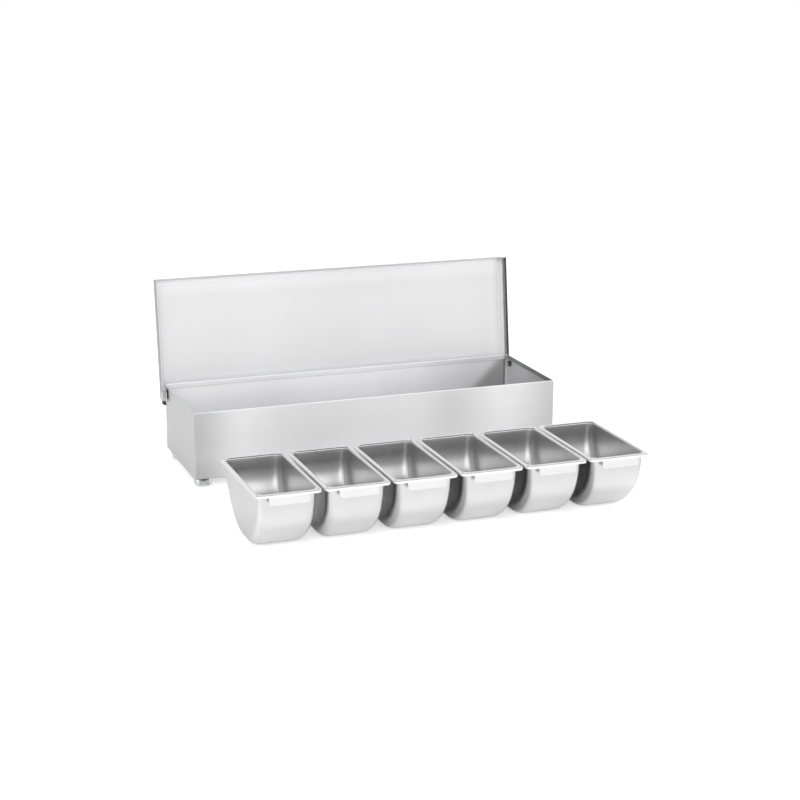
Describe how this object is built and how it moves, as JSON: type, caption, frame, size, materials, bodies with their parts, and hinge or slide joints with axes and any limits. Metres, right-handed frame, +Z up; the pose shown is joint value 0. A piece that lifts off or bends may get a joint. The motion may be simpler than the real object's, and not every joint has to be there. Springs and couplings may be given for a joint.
{
  "type": "bar garnish tray",
  "caption": "Long open steel tray on clear feet with a hinged lid standing open, and lift-out garnish pans standing in a row in front.",
  "frame": {"origin": "middle of the whole arrangement in plan, on the surface it stands on", "axes": "+X to the right along the box as seen from the front, +Y from the row of pans towards the box and its lid, +Z up"},
  "size_m": [0.5016, 0.467, 0.2323],
  "materials": {
    "satin_steel": "satin stainless steel sheet",
    "pan_steel": "bright deep-drawn stainless steel",
    "zinc_plated": "zinc-plated steel",
    "black_rubber": "matte black rubber",
    "black_nylon": "black nylon",
    "clear_plastic": "clear moulded plastic"
  },
  "bodies": {
    "box": {"box_shell": "satin_steel", "left_end_wall": "satin_steel", "right_end_wall": "satin_steel", "left_hinge_screw": "zinc_plated", "right_hinge_screw": "zinc_plated", "left_hinge_spacer": "black_nylon", "right_hinge_spacer": "black_nylon", "left_hinge_nut": "zinc_plated", "right_hinge_nut": "zinc_plated", "front_left_foot": "clear_plastic", "front_right_foot": "clear_plastic", "rear_left_foot": "clear_plastic", "rear_right_foot": "clear_plastic", "foot_screws": "zinc_plated", "foot_washers": "zinc_plated", "foot_nuts": "zinc_plated"},
    "lid": {"lid": "satin_steel", "left_lid_stop": "black_rubber", "right_lid_stop": "black_rubber", "lid_stop_rivets": "zinc_plated"},
    "pan_1": {"pan_1": "pan_steel"},
    "pan_2": {"pan_2": "pan_steel"},
    "pan_3": {"pan_3": "pan_steel"},
    "pan_4": {"pan_4": "pan_steel"},
    "pan_5": {"pan_5": "pan_steel"},
    "pan_6": {"pan_6": "pan_steel"}
  },
  "joints": [
    {"name": "lid_hinge", "type": "hinge", "parent": "box", "child": "lid", "pos_m": [0, 0.18516, 0.0874], "axis": [1, 0, 0], "range_deg": [0, 97.5]},
    {"name": "pan_1_lift", "type": "slide", "parent": "box", "child": "pan_1", "axis": [0, 0, 1], "range_m": [0, 0.13]},
    {"name": "pan_2_lift", "type": "slide", "parent": "box", "child": "pan_2", "axis": [0, 0, 1], "range_m": [0, 0.13]},
    {"name": "pan_3_lift", "type": "slide", "parent": "box", "child": "pan_3", "axis": [0, 0, 1], "range_m": [0, 0.13]},
    {"name": "pan_4_lift", "type": "slide", "parent": "box", "child": "pan_4", "axis": [0, 0, 1], "range_m": [0, 0.13]},
    {"name": "pan_5_lift", "type": "slide", "parent": "box", "child": "pan_5", "axis": [0, 0, 1], "range_m": [0, 0.13]},
    {"name": "pan_6_lift", "type": "slide", "parent": "box", "child": "pan_6", "axis": [0, 0, 1], "range_m": [0, 0.13]}
  ]
}
